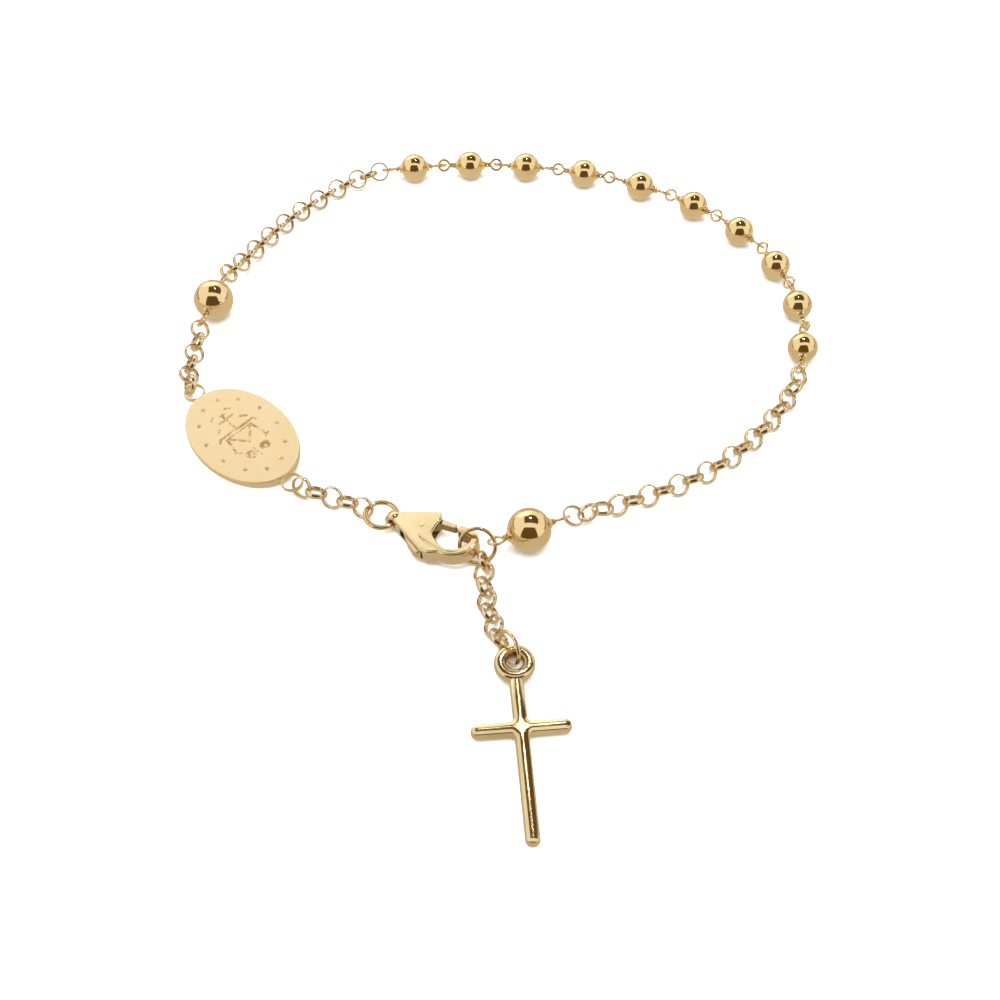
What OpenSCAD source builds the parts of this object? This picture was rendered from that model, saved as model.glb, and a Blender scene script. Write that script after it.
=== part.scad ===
// Rosary bracelet in yellow gold, lying in a loop on a flat surface.
// The origin is the centre of the wrist loop, on the surface, with +Z up. The front of the loop,
// where the clasp, the end ring and the hanging cross are, faces -Y.
// Every piece is a link of a string. Two neighbours meet at a joint, and the string is laid out
// joint by joint along the route. A piece's own X axis runs from its first joint to its second.

/* [Beads] */
// Number of small beads, one decade
small_beads = 10; // [4:1:12]
// Diameter of a small bead
small_bead_d = 3; // [2.6:0.1:3.6]
// Diameter of a large bead
large_bead_d = 4; // [3.6:0.1:5]
// Wall of the hollow beads
bead_wall = 0.25; // [0.15:0.05:0.35]
// Bore through a bead
bead_bore_d = 0.5; // [0.4:0.05:0.6]
// Outside of the rim round each end of the bore
bead_rim_d = 1; // [0.8:0.1:1.2]
// How far the rim stands out of the bead
bead_rim_h = 0.15; // [0.1:0.05:0.25]

/* [Eye pins] */
// Wire of the pins through the beads
pin_wire_d = 0.28; // [0.2:0.02:0.3]
// Inside of the eyes on the small beads' pins
small_eye_d = 0.9; // [0.85:0.05:1]
// Inside of the eyes on the large beads' pins
large_eye_d = 1.1; // [1:0.05:1.3]
// Bare neck between a small bead's wrap and its eye
small_neck_l = 0.6; // [0.4:0.02:1]
// Bare neck between a large bead's wrap and its eye
large_neck_l = 0.3; // [0.15:0.05:1]
// Wire of the wrap round the pin at the bead
wrap_wire_d = 0.22; // [0.16:0.02:0.26]

/* [Chain] */
// Outside diameter of a link
link_d = 2.12; // [2.08:0.02:2.3]
// Thickness of a link's band
link_t = 0.16; // [0.14:0.01:0.18]
// Width of a link's band
link_w = 0.4; // [0.34:0.02:0.44]
// Links between the large front bead and the small beads
front_links = 20; // [12:1:24]
// Links between the small beads and the large left bead
back_links = 19; // [12:1:24]
// Links between the large left bead and the medal
left_links = 6; // [4:1:8]
// Links between the medal and the clasp's ring
clasp_links = 5; // [3:2:7]
// Links between the end ring and the cross's ring
pendant_links = 7; // [5:1:8]
// Least air between two pieces at a taut joint
joint_gap = 0.13; // [0.13:0.01:0.16]

/* [Jump rings] */
// Outside diameter of the end ring, which the clasp hooks into
end_ring_d = 3.6; // [3.6:0.1:4]
// Wire of the end ring
end_ring_wire_d = 0.38; // [0.3:0.02:0.4]
// Outside diameter of the ring in the clasp's eye
clasp_ring_d = 3.4; // [3.3:0.1:3.8]
// Wire of the ring in the clasp's eye
clasp_ring_wire_d = 0.5; // [0.4:0.05:0.5]
// Outside diameter of the ring in the cross's eye
cross_ring_d = 3.3; // [3.2:0.1:3.6]
// Wire of the ring in the cross's eye
cross_ring_wire_d = 0.36; // [0.3:0.02:0.4]

/* [Medal] */
// Length of the oval medal, along the string
medal_l = 13.7; // [12.2:0.5:15.7]
// Width of the oval medal
medal_w = 9; // [8.2:0.2:10]
// Thickness of the medal
medal_t = 0.7; // [0.5:0.05:0.8]

/* [Clasp] */
// From the clasp's eye to the middle of its hook
clasp_l = 6.05; // [6:0.05:7]
// Width of the clasp's body
clasp_w = 4.5; // [4.3:0.1:4.8]
// Thickness of the clasp
clasp_t = 1.5; // [1.4:0.05:1.6]
// Width of the hook's arm
hook_w = 0.54; // [0.5:0.02:0.66]
// Radius of the hook's bow, to the middle of its arm
hook_r = 2.1; // [2:0.05:2.2]
// Radius of the hook's nose, to the middle of its arm
nose_r = 1.05; // [1:0.05:1.2]
// Thickness of the lever
lever_t = 0.8; // [0.6:0.05:0.85]
// Air between the lever and the cheeks of the body
lever_gap = 0.06; // [0.04:0.01:0.08]
// Diameter of the lever's pin
clasp_pin_d = 0.6; // [0.5:0.05:0.7]
// Outside diameter of the clasp's eye
clasp_eye_d = 1.7; // [1.6:0.05:1.9]
// Hole of the clasp's eye
clasp_eye_hole_d = 0.84; // [0.8:0.02:0.9]
// Width of the clasp's eye
clasp_eye_w = 0.95; // [0.8:0.05:1]

/* [Cross] */
// From the eye of the cross to its foot
cross_l = 16.4; // [14:0.2:19]
// From the eye of the cross to its arms
cross_arms_at = 6.15; // [5:0.05:8]
// Span of the arms
cross_span = 8.3; // [7:0.1:11]
// Width of the bars
cross_bar_w = 1.2; // [1:0.1:1.6]
// Height of the half-round bars
cross_bar_h = 0.85; // [0.7:0.05:1]
// Outside diameter of the cross's eye
cross_eye_d = 3.4; // [3:0.1:3.8]
// Thickness of the cross's eye
cross_eye_t = 1; // [0.8:0.05:1.1]

/* [Hidden] */
$fn = 48;

// Hand-chosen points of the loop, anticlockwise from the joint of clasp and end ring
route = [
    [-2.6, -27.7], [-0.7, -27.6], [2.9, -26.15], [8.4, -23.5], [14, -21.1], [19.5, -18.2],
    [24.2, -14], [28.3, -8.4], [30.4, -2.5], [30.6, 3.5], [29.2, 9.8], [26, 15.4],
    [21.1, 19.8], [15.4, 23.35], [9.1, 25.4], [2.5, 26.6], [-3.5, 26.8], [-9.45, 26.35],
    [-14.9, 25.2], [-19.1, 22.3], [-23.5, 17.2], [-27.2, 10.6], [-29.45, 4.4],
    [-30.2, -1.5], [-30.2, -7.5], [-24.6, -13.7], [-18.9, -19.9], [-15, -21.6],
    [-11, -23.4], [-9.6, -24.1]
];

// Slack at each joint of the small beads, as a share of the play, from the front chain on
bead_slack = [0, 1, 0.57, 0.35, 0.86, 0, 0, 0, 1, 1, 0];
// Play of two small eyes in each other
bead_play = 2 * across(small_eye_d / 2, pin_wire_d) - pin_wire_d - 2 * joint_gap;
// Slack in each link of the chains that lie loosely
back_slack = 0.31;
left_slack = 0.15;
front_slack = 0.024;
clasp_slack = 0.03;
pendant_slack = 0.2;
// Slack at a joint where the string bends sharply
bend_slack = 0.1;

// Headings along the string that hangs to the cross, and its bend per link
pendant_heading = -92;
pendant_bend = 3.6;
cross_ring_heading = -51;
cross_heading = -85.2;
// Where that string hangs on the end ring, and how far its first link's middle is above the wire
pendant_at = -84;
hang_rise = 0.25;

// Rolls of the pieces about the string, in degrees from lying flat
side_roll = 45;
end_ring_roll = 53;
cross_ring_roll = 74.3;
// Roll of a link beside a piece that lies flat, and how fast a twist dies out along a chain
steep_roll = 62;
twist_fade = 0.65;
// How fast a chain comes down to the surface from a bead
sag = 0.68;

// Chain link
link_ri = link_d / 2 - link_t;
// Radius of the domed outside of the band, whose inside is flat
dome_r = (link_w * link_w / 4 + link_t * link_t) / (2 * link_t);
// Room from a ring's middle to its wall for a band of width w that lies across it
function across(r, w) = sqrt(r * r - w * w / 4);
link_reach = (across(link_ri, link_w) + across(link_ri - joint_gap, link_w)) / 2;
// Height of a link's middle over the surface at a roll
function link_rest(roll) = (link_d / 2 - dome_r) * abs(sin(roll)) + dome_r + 0.012;

// Eye pins: from the bead's middle to the middle of an eye, and to the joint there
function eye_at(bead_d, eye_d, neck_l) =
    bead_d / 2 + bead_rim_h + wrap_wire_d + neck_l + eye_d / 2;
function pin_reach(bead_d, eye_d, neck_l) =
    eye_at(bead_d, eye_d, neck_l) + across(eye_d / 2, pin_wire_d) - joint_gap / 2;
small_reach = pin_reach(small_bead_d, small_eye_d, small_neck_l);
large_reach = pin_reach(large_bead_d, large_eye_d, large_neck_l);

// Medal: its rings are links soldered to its ends. It lies low, with its outer side on the
// surface, so the steep links in its rings hold it below their own middles
ring_sink = 0.12;
medal_ring_at = medal_l / 2 + link_d / 2 - ring_sink;
medal_h = link_rest(steep_roll);
medal_z = 0.8;
medal_tilt = asin((medal_z - medal_t / 2) / (medal_w / 2));
// What its lower height takes off the reach of its rings, so that the steep links fit in them
medal_ring_ease = 0.35;
medal_ring_reach = sqrt(pow(link_reach, 2) - pow(medal_h - medal_z, 2)) - medal_ring_ease;

// Clasp, drawn flat with its eye at the origin and its hook along +X
chamfer = 0.12;
bow = [clasp_l, 0.15];
nose_from = -10;
nose = bow + (hook_r - nose_r) * [cos(nose_from), sin(nose_from)];
nose_inside = nose.x + sqrt(pow(nose_r - hook_w / 2, 2) - nose.y * nose.y);
hook_t = clasp_t - 0.2;
pivot = [0.48 * clasp_l, 0];
// The gate ends on an arc round the pivot, and so does the tip of the hook before it
tip_y = nose.y + nose_r;
gate_r = norm([0.95 * clasp_l - pivot.x, 0.324 * clasp_w]);
tip_gap = 0.08;
// Columns: share of clasp_l along X, share of clasp_w along Y
body_outline = [
    [0.08, 0.122], [0.62, 0.433], [0.678, 0.311], [0.664, 0.189], [0.664, -0.089],
    [0.711, -0.156], [0.818, -0.278], [0.926, -0.489], [0.81, -0.578], [0.661, -0.556],
    [0.529, -0.444], [0.298, -0.256], [0.08, -0.122]
];
lever_outline = [
    [0.496, 0.3], [0.694, 0.333], [1.025, 0.324], [1.025, 0.244], [0.686, 0.222],
    [0.628, 0.089], [0.612, -0.156], [0.653, -0.4], [0.681, -0.567], [0.636, -0.633],
    [0.57, -0.6], [0.438, -0.467], [0.264, -0.244], [0.248, -0.089], [0.33, 0.178]
];
pin_play = 0.04;
slot_from = 0.19 * clasp_l;
slot_to = 0.702 * clasp_l;
// Its eye stands on the surface, and its hook is lifted by the end ring under it
clasp_eye_z = clasp_eye_d / 2;
hook_z = clasp_eye_z + 0.75;
clasp_eye_reach = clasp_eye_hole_d / 2 - joint_gap / 2;
clasp_reach = nose_inside - joint_gap / 2;

// Jump rings: inner radius, and reach to each neighbour. The hook and the cross's eye lie inside
// theirs, at a share of the inner radius
hook_in_ring = 0.45;
eye_in_ring = 0.4;
end_ring_ri = end_ring_d / 2 - end_ring_wire_d;
end_ring_hook_reach = hook_in_ring * end_ring_ri;
end_ring_reach = across(end_ring_ri, pin_wire_d) - joint_gap / 2 - bend_slack / 2;
clasp_ring_ri = clasp_ring_d / 2 - clasp_ring_wire_d;
clasp_ring_link_reach = across(clasp_ring_ri, link_w) - joint_gap / 2;
clasp_ring_eye_reach = across(clasp_ring_ri, clasp_eye_w) - joint_gap / 2;
cross_ring_ri = cross_ring_d / 2 - cross_ring_wire_d;
cross_ring_link_reach = across(cross_ring_ri, link_w) - joint_gap / 2 - bend_slack;
cross_ring_eye_reach = eye_in_ring * cross_ring_ri;

// The end ring slopes up from under the hook to the large front bead's pin
end_ring_hook_z = hook_z - 0.19;
end_ring_z = large_bead_d / 2 + 0.05;

// Cross: its eye is a torus, lifted so that its ring passes under it
cross_eye_hole_r = cross_eye_d / 2 - cross_eye_t;
cross_eye_reach = cross_eye_hole_r - joint_gap / 2;
cross_ring_play = 0.11;
cross_eye_z = cross_eye_t / 2 + cross_ring_wire_d + joint_gap + cross_ring_play;
cross_foot_z = cross_bar_h / 2;
// The cross's ring stands on edge: from its link it slopes up over the eye
cross_ring_z = cross_eye_z;
cross_ring_rise = 0.94;
cross_ring_far_z = cross_eye_z + cross_ring_rise;

// Rows of a string. Columns: reach from the piece's middle back to its first joint, reach on to
// its second joint, roll, height of its first joint
// A run of links: they roll to each side in turn, twisted by twist_a and twist_b at its ends,
// come down to the surface from heights za and zb, and are eased by ease_a and ease_b there
function link_roll(i, n, first, twist_a, twist_b) =
    first * (i % 2 == 0 ? 1 : -1)
    + twist_a * pow(twist_fade, i) + twist_b * pow(twist_fade, n - 1 - i);
function links(n, first, twist_a, twist_b, za, zb, slack, ease_a, ease_b) = [
    for (i = [0 : n - 1])
        let (
            h = link_rest(side_roll),
            roll = link_roll(i, n, first, twist_a, twist_b),
            before = link_roll(max(i - 1, 0), n, first, twist_a, twist_b),
            ease = ease_a * pow(sag, i) + ease_b * pow(sag, n - 1 - i),
            reach = link_reach - slack / 2 - ease,
            lift = i == 1 ? 2 * link_rest(before) - za : 0,
            down_a = h + (za - h) * pow(sag, i),
            down_b = h + (zb - h) * pow(sag, n - i),
            z = max(link_rest(roll), link_rest(before), lift, down_a, down_b)
        )
        [reach, reach, roll, i == 0 ? za : z]
];
function small_row(i) = [
    small_reach - bead_play * bead_slack[min(i, len(bead_slack) - 2)] / 2,
    small_reach - bead_play * bead_slack[min(i, len(bead_slack) - 2) + 1] / 2,
    side_roll * (i % 2 == 0 ? -1 : 1),
    small_bead_d / 2
];
small_z = small_bead_d / 2;
large_z = large_bead_d / 2;
bent_reach = link_reach - bend_slack;
steep_twist = steep_roll - side_roll;
front_eye_roll = -25;
front_eye_turn = -27;

bracelet = concat(
    [[end_ring_hook_reach, end_ring_reach, end_ring_roll, end_ring_hook_z]],
    [[large_reach, large_reach, front_eye_roll, end_ring_z]],
    links(front_links, -side_roll, steep_roll, 0, 2 * large_z - end_ring_z, small_z,
        front_slack, 0.06, 0.03),
    [for (i = [0 : small_beads - 1]) small_row(i)],
    links(back_links, -side_roll, 0, 0, small_z, large_z, back_slack, 0, 0),
    [[large_reach, large_reach, side_roll, large_z]],
    links(left_links, -side_roll, 0, steep_twist, large_z, medal_h, left_slack, 0, 0.07),
    [[medal_ring_at + medal_ring_reach, medal_ring_at + medal_ring_reach, medal_tilt, medal_h]],
    links(clasp_links, side_roll, steep_twist, steep_twist, medal_h, medal_h, clasp_slack, 0.02, 0),
    [[clasp_ring_link_reach, clasp_ring_eye_reach, 0, medal_h]],
    [[clasp_eye_reach, clasp_reach, 0, clasp_eye_z]]
);

// Places of the pieces in that string
front_bead_at = 1;
front_chain_at = front_bead_at + 1;
small_beads_at = front_chain_at + front_links;
back_chain_at = small_beads_at + small_beads;
left_bead_at = back_chain_at + back_links;
left_chain_at = left_bead_at + 1;
medal_at = left_chain_at + left_links;
clasp_chain_at = medal_at + 1;
clasp_ring_at = clasp_chain_at + clasp_links;
clasp_at = clasp_ring_at + 1;

// The route as a closed smooth curve, looked up by its length from the first point
spans = 8;
function smooth(a, b, c, d, t) = (2 * b + (c - a) * t + (2 * a - 5 * b + 4 * c - d) * t * t
    + (3 * b - a - 3 * c + d) * t * t * t) / 2;
function route_point(i) = route[(i + len(route)) % len(route)];
curve = [for (i = [0 : len(route)], s = [0 : spans - 1]) smooth(
    route_point(i - 1), route_point(i), route_point(i + 1), route_point(i + 2), s / spans)];
lengths = [for (i = 0, sum = 0; i < len(curve);
    sum = sum + norm(curve[min(i + 1, len(curve) - 1)] - curve[i]), i = i + 1) sum];
route_l = lengths[len(route) * spans];
curve_x = [for (i = [0 : len(curve) - 1]) [lengths[i], curve[i].x]];
curve_y = [for (i = [0 : len(curve) - 1]) [lengths[i], curve[i].y]];
function on_route(s, size) = size * [lookup(s / size, curve_x), lookup(s / size, curve_y)];

// The joint after one at s, a straight distance d away
function step(s, d, size, tries = 4, guess = undef) =
    let (g = is_undef(guess) ? s + d : guess)
    tries == 0 ? g : step(s, d, size, tries - 1,
        g + d - norm(on_route(g, size) - on_route(s, size)));
// Straight length of a row's piece seen from above, between the joint heights z and z_next
function flat_l(row, z, z_next) = sqrt(pow(row[0] + row[1], 2) - pow(z_next - z, 2));
function row_at(i) = bracelet[i % len(bracelet)];
function walk(size) = [for (i = 0, s = 0; i <= len(bracelet);
    s = step(s, flat_l(row_at(i), row_at(i)[3], row_at(i + 1)[3]), size), i = i + 1) s];
// Size of the route at which the string just closes
function fit(size, tries) = tries == 0 ? size
    : fit(walk(size)[len(bracelet)] / route_l, tries - 1);
size = fit(1, 4);
places = walk(size);
joints = [for (i = [0 : len(bracelet)]) concat(on_route(places[i], size), row_at(i)[3])];

// The string that hangs from the end ring: its links, the cross's ring and the cross
end_dir = (joints[1] - joints[0]) / norm(joints[1] - joints[0]);
end_flat = norm([end_dir.x, end_dir.y]);
end_side = [-end_dir.y, end_dir.x, 0] / end_flat;
end_up = cross(end_dir, end_side);
end_across = end_side * cos(end_ring_roll) + end_up * sin(end_ring_roll);
end_ring_middle = joints[0] + end_ring_hook_reach * end_dir;
// The first link goes round the ring's wire there
pendant_wire = end_ring_middle
    + (end_ring_d - end_ring_wire_d) / 2 * (cos(pendant_at) * end_dir + sin(pendant_at) * end_across);
pendant_start = pendant_wire + [0, 0, hang_rise]
    - (end_ring_wire_d + joint_gap + bend_slack) / 2
        * [cos(pendant_heading), sin(pendant_heading), 0];
pendant = concat(
    links(pendant_links, -side_roll, -20, 0, pendant_start.z, cross_ring_z, pendant_slack, 0, 0),
    [[cross_ring_link_reach, cross_ring_eye_reach, cross_ring_roll, cross_ring_z]],
    [[cross_eye_reach, cross_l, 0, cross_eye_z]],
    [[0, 0, 0, cross_foot_z]]
);
cross_ring_at = pendant_links;
cross_at = pendant_links + 1;
function pendant_way(i) = i < pendant_links ? pendant_heading + pendant_bend * i
    : i == cross_ring_at ? cross_ring_heading : cross_heading;
pendant_joints = [for (i = 0, p = [pendant_start.x, pendant_start.y]; i <= cross_at + 1;
    p = p + flat_l(pendant[min(i, cross_at)], pendant[min(i, cross_at)][3],
        pendant[min(i, cross_at) + 1][3]) * [cos(pendant_way(i)), sin(pendant_way(i))],
    i = i + 1) concat(p, pendant[i][3])];

// Puts a piece between two joints: its own row gives its middle and its roll
module between(row, from, to) {
    d = to - from;
    translate(from)
        rotate([0, -asin(d.z / norm(d)), atan2(d.y, d.x)])
            translate([row[0], 0, 0])
                rotate([row[2], 0, 0])
                    children();
}
module in_loop(i) between(bracelet[i], joints[i], joints[i + 1]) children();
module in_pendant(i) between(pendant[i], pendant_joints[i], pendant_joints[i + 1]) children();
// Three pieces lie at heights of their own
function at_height(p, z) = [p.x, p.y, z];
module in_clasp()
    between(bracelet[clasp_at], joints[clasp_at], at_height(joints[clasp_at + 1], hook_z)) children();
module in_medal()
    between(bracelet[medal_at], at_height(joints[medal_at], medal_z),
        at_height(joints[medal_at + 1], medal_z)) children();
module in_cross_ring()
    between(pendant[cross_ring_at], pendant_joints[cross_ring_at],
        at_height(pendant_joints[cross_at], cross_ring_far_z)) children();

// Shapes that repeat
module band_ring() {
    rotate_extrude()
        intersection() {
            translate([link_ri, -link_w / 2]) square([link_t, link_w]);
            translate([link_d / 2 - dome_r, 0]) circle(r = dome_r);
        }
}
module wire_ring(d, wire_d) {
    rotate_extrude()
        translate([(d - wire_d) / 2, 0]) circle(d = wire_d);
}
module rod(d, l) {
    rotate([0, 90, 0]) cylinder(d = d, h = l, center = true);
}
// A ball whose seam lies clear of a bore along X
module ball(d) {
    rotate(90) sphere(d = d);
}
module bead(d) {
    l = d + 2 * bead_rim_h;
    difference() {
        union() {
            ball(d);
            rod(bead_rim_d, l);
        }
        ball(d - 2 * bead_wall);
        rod(bead_bore_d, l + 1);
    }
}
// turn is the angle from the first eye to the second
module eye_pin(bead_d, eye_d, neck_l, turn) {
    eye_x = eye_at(bead_d, eye_d, neck_l);
    wrap_x = bead_d / 2 + bead_rim_h + wrap_wire_d / 2 + 0.06;
    rod(pin_wire_d, 2 * (eye_x - eye_d / 2 - pin_wire_d / 2));
    for (side = [-1, 1]) {
        rotate([side > 0 ? turn : 0, 0, 0])
            translate([side * eye_x, 0, 0])
                wire_ring(eye_d + 2 * pin_wire_d, pin_wire_d);
        translate([side * wrap_x, 0, 0])
            rotate([0, 90, 0])
                wire_ring(pin_wire_d + 1.6 * wrap_wire_d, wrap_wire_d);
    }
}

// The pieces
module small_bead(i) {
    color("goldenrod") in_loop(small_beads_at + i) bead(small_bead_d);
}
module small_pin(i) {
    color("darkgoldenrod") in_loop(small_beads_at + i) eye_pin(small_bead_d, small_eye_d, small_neck_l, 0);
}
module large_bead_front() {
    color("goldenrod") in_loop(front_bead_at) bead(large_bead_d);
}
module large_pin_front() {
    color("darkgoldenrod") in_loop(front_bead_at)
        eye_pin(large_bead_d, large_eye_d, large_neck_l, front_eye_turn);
}
module large_bead_left() {
    color("goldenrod") in_loop(left_bead_at) bead(large_bead_d);
}
module large_pin_left() {
    color("darkgoldenrod") in_loop(left_bead_at) eye_pin(large_bead_d, large_eye_d, large_neck_l, 0);
}
module chain(from, n) {
    color("gold")
        for (i = [0 : n - 1]) in_loop(from + i) band_ring();
}
module chain_front() chain(front_chain_at, front_links);
module chain_back() chain(back_chain_at, back_links);
module chain_left() chain(left_chain_at, left_links);
module chain_clasp() chain(clasp_chain_at, clasp_links);
module chain_pendant() {
    color("gold")
        for (i = [0 : pendant_links - 1]) in_pendant(i) band_ring();
}
module jump_ring_end() {
    color("khaki") in_loop(0) wire_ring(end_ring_d, end_ring_wire_d);
}
module jump_ring_clasp() {
    color("khaki") in_loop(clasp_ring_at) wire_ring(clasp_ring_d, clasp_ring_wire_d);
}
module jump_ring_cross() {
    color("khaki") in_cross_ring() wire_ring(cross_ring_d, cross_ring_wire_d);
}

module oval(l, w, steps = 72) {
    polygon([for (i = [0 : steps - 1]) [l / 2 * cos(360 * i / steps), w / 2 * sin(360 * i / steps)]]);
}
module medal() {
    color("burlywood") in_medal() {
        linear_extrude(medal_t, center = true) oval(medal_l, medal_w);
        for (side = [-1, 1])
            translate([side * medal_ring_at, 0, 0]) band_ring();
    }
}

// Outline of a part of the clasp, from its table of shares
module clasp_outline(table) {
    polygon([for (p = table) [p.x * clasp_l, p.y * clasp_w]]);
}
// Section of the hook's arm, which tapers a little at each join towards the tip
module hook_section(taper) {
    w = hook_w / 2 - taper;
    t = hook_t / 2 - taper;
    c = chamfer;
    polygon([[w - c, -t], [w, c - t], [w, t - c], [w - c, t],
             [c - w, t], [-w, t - c], [-w, c - t], [c - w, -t]]);
}
module arm(middle, r, from, to, taper) {
    translate(middle)
        rotate(from)
            rotate_extrude(angle = to - from)
                translate([r, 0]) hook_section(taper);
}
module clasp_body() {
    bow_from = -130;
    lap = 2;
    color("gold") in_clasp() {
        difference() {
            linear_extrude(clasp_t, center = true) clasp_outline(body_outline);
            translate([slot_from, -clasp_w, -lever_t / 2 - lever_gap])
                cube([slot_to - slot_from, 2 * clasp_w, lever_t + 2 * lever_gap]);
            translate(pivot) cylinder(d = clasp_pin_d + pin_play, h = clasp_t + 1, center = true);
            rotate([90, 0, 0]) cylinder(d = clasp_eye_hole_d, h = clasp_eye_w + 1, center = true);
        }
        arm(bow, hook_r, bow_from, nose_from, 0);
        arm(nose, nose_r, nose_from - lap, 90, 0.03);
        difference() {
            translate([nose.x + 0.05, tip_y, 0])
                rotate([90, 0, -90])
                    linear_extrude(nose.x - pivot.x - gate_r + hook_w) hook_section(0.05);
            translate(pivot) cylinder(r = gate_r + tip_gap, h = clasp_t + 1, center = true);
        }
        rotate([90, 0, 0])
            rotate_extrude()
                translate([clasp_eye_hole_d / 2, 0])
                    eye_section((clasp_eye_d - clasp_eye_hole_d) / 2, clasp_eye_w);
    }
}
module eye_section(h, w) {
    polygon([[0, chamfer - w / 2], [chamfer, -w / 2], [h - chamfer, -w / 2], [h, chamfer - w / 2],
             [h, w / 2 - chamfer], [h - chamfer, w / 2], [chamfer, w / 2], [0, w / 2 - chamfer]]);
}
module clasp_lever() {
    color("khaki") in_clasp()
        difference() {
            intersection() {
                linear_extrude(lever_t, center = true) clasp_outline(lever_outline);
                translate(pivot) cylinder(r = gate_r, h = clasp_t, center = true);
            }
            translate(pivot)
                cylinder(d = clasp_pin_d + lever_gap, h = clasp_t, center = true);
        }
}
module clasp_pin() {
    color("darkkhaki") in_clasp()
        translate(pivot) cylinder(d = clasp_pin_d, h = clasp_t, center = true);
}

// A half-round bar along X with its flat back down, from x_from to x_to
module bar(x_from, x_to) {
    dome = (cross_bar_w * cross_bar_w / 4 + cross_bar_h * cross_bar_h) / (2 * cross_bar_h);
    intersection() {
        translate([x_from, 0, cross_bar_h / 2 - dome])
            rotate([0, 90, 0]) cylinder(r = dome, h = x_to - x_from);
        translate([x_from, -cross_bar_w / 2, -cross_bar_h / 2])
            cube([x_to - x_from, cross_bar_w, cross_bar_h]);
    }
}
module cross() {
    bar_from = cross_eye_d / 2 - cross_eye_t / 2;
    color("gold") in_pendant(cross_at) {
        wire_ring(cross_eye_d, cross_eye_t);
        bar(bar_from, cross_l);
        translate([cross_arms_at, 0, 0])
            rotate(90) bar(-cross_span / 2, cross_span / 2);
    }
}

for (i = [1 : small_beads]) {
    small_bead(small_beads - i);
    small_pin(small_beads - i);
}
large_bead_left();
large_bead_front();
large_pin_left();
large_pin_front();
chain_front();
chain_back();
chain_left();
chain_clasp();
chain_pendant();
jump_ring_end();
jump_ring_clasp();
jump_ring_cross();
clasp_body();
clasp_lever();
clasp_pin();
medal();
cross();
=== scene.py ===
import math

import bmesh
import bpy
import numpy as np
from mathutils import Matrix, Vector


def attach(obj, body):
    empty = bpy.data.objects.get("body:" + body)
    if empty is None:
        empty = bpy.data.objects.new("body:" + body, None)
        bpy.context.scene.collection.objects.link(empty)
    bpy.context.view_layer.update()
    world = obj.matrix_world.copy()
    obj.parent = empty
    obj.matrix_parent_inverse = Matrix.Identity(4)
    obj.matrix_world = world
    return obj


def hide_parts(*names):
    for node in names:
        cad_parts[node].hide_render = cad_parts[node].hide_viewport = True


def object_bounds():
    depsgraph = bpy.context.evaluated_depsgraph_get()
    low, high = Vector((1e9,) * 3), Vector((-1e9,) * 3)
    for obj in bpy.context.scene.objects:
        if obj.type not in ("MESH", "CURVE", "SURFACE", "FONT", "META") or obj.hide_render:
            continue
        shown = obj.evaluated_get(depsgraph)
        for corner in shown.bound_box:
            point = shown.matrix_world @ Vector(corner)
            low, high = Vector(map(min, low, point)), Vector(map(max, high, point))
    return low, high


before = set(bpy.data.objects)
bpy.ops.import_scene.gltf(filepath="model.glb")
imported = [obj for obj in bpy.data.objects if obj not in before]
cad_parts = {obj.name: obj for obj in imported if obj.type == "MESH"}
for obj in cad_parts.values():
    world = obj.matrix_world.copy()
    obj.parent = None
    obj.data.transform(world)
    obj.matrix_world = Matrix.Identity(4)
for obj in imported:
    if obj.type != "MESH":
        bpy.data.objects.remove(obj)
cad_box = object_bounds()


# Small beads
# Ten hollow gold balls of one decade. Each is spun from sheet and polished to a mirror, and a
# rolled rim keeps the eye pin centred in its bore.
MM = 0.001
SMALL_BEAD_R = 1.5 * MM
RIM_R = 0.5 * MM
RIM_STANDS_OUT = 0.15 * MM
BORE_R = 0.25 * MM
WELD = 1e-5 * MM
# Grain of the metal to the metre: its tone, its gloss and its fine scratches
TONE_GRAIN = 420.0
GLOSS_GRAIN = 900.0
SCRATCH_GRAIN = 6000.0
SCRATCH_STRETCH = (1.0, 0.16, 1.0)
SCRATCH_DEPTH = 0.02 * MM


def points_of(mesh):
    flat = np.empty(len(mesh.vertices) * 3)
    mesh.vertices.foreach_get("co", flat)
    return flat.reshape(-1, 3)


def corners(node):
    return points_of(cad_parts[node].data)


def middle(points):
    return (points.min(0) + points.max(0)) / 2


def principal(points):
    """Axes of a cloud of points, the longest first, each with its largest part positive."""
    centred = points - points.mean(0)
    axes = np.linalg.eigh(centred.T @ centred)[1].T[::-1]
    largest = axes[np.arange(3), np.abs(axes).argmax(1)]
    return axes * np.sign(largest)[:, None]


def add_noise(nodes, links, coords, scale, detail=2.0, stretch=None):
    noise = nodes.new("ShaderNodeTexNoise")
    noise.inputs["Scale"].default_value = scale
    noise.inputs["Detail"].default_value = detail
    source = coords
    if stretch:
        mapping = nodes.new("ShaderNodeMapping")
        mapping.inputs["Scale"].default_value = stretch
        links.new(coords, mapping.inputs["Vector"])
        source = mapping.outputs["Vector"]
    links.new(source, noise.inputs["Vector"])
    return noise.outputs["Fac"]


def add_range(nodes, links, value, low, high):
    spread = nodes.new("ShaderNodeMapRange")
    spread.inputs["From Min"].default_value = 0.3
    spread.inputs["From Max"].default_value = 0.7
    spread.inputs["To Min"].default_value = low
    spread.inputs["To Max"].default_value = high
    links.new(value, spread.inputs["Value"])
    return spread.outputs["Result"]


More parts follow.
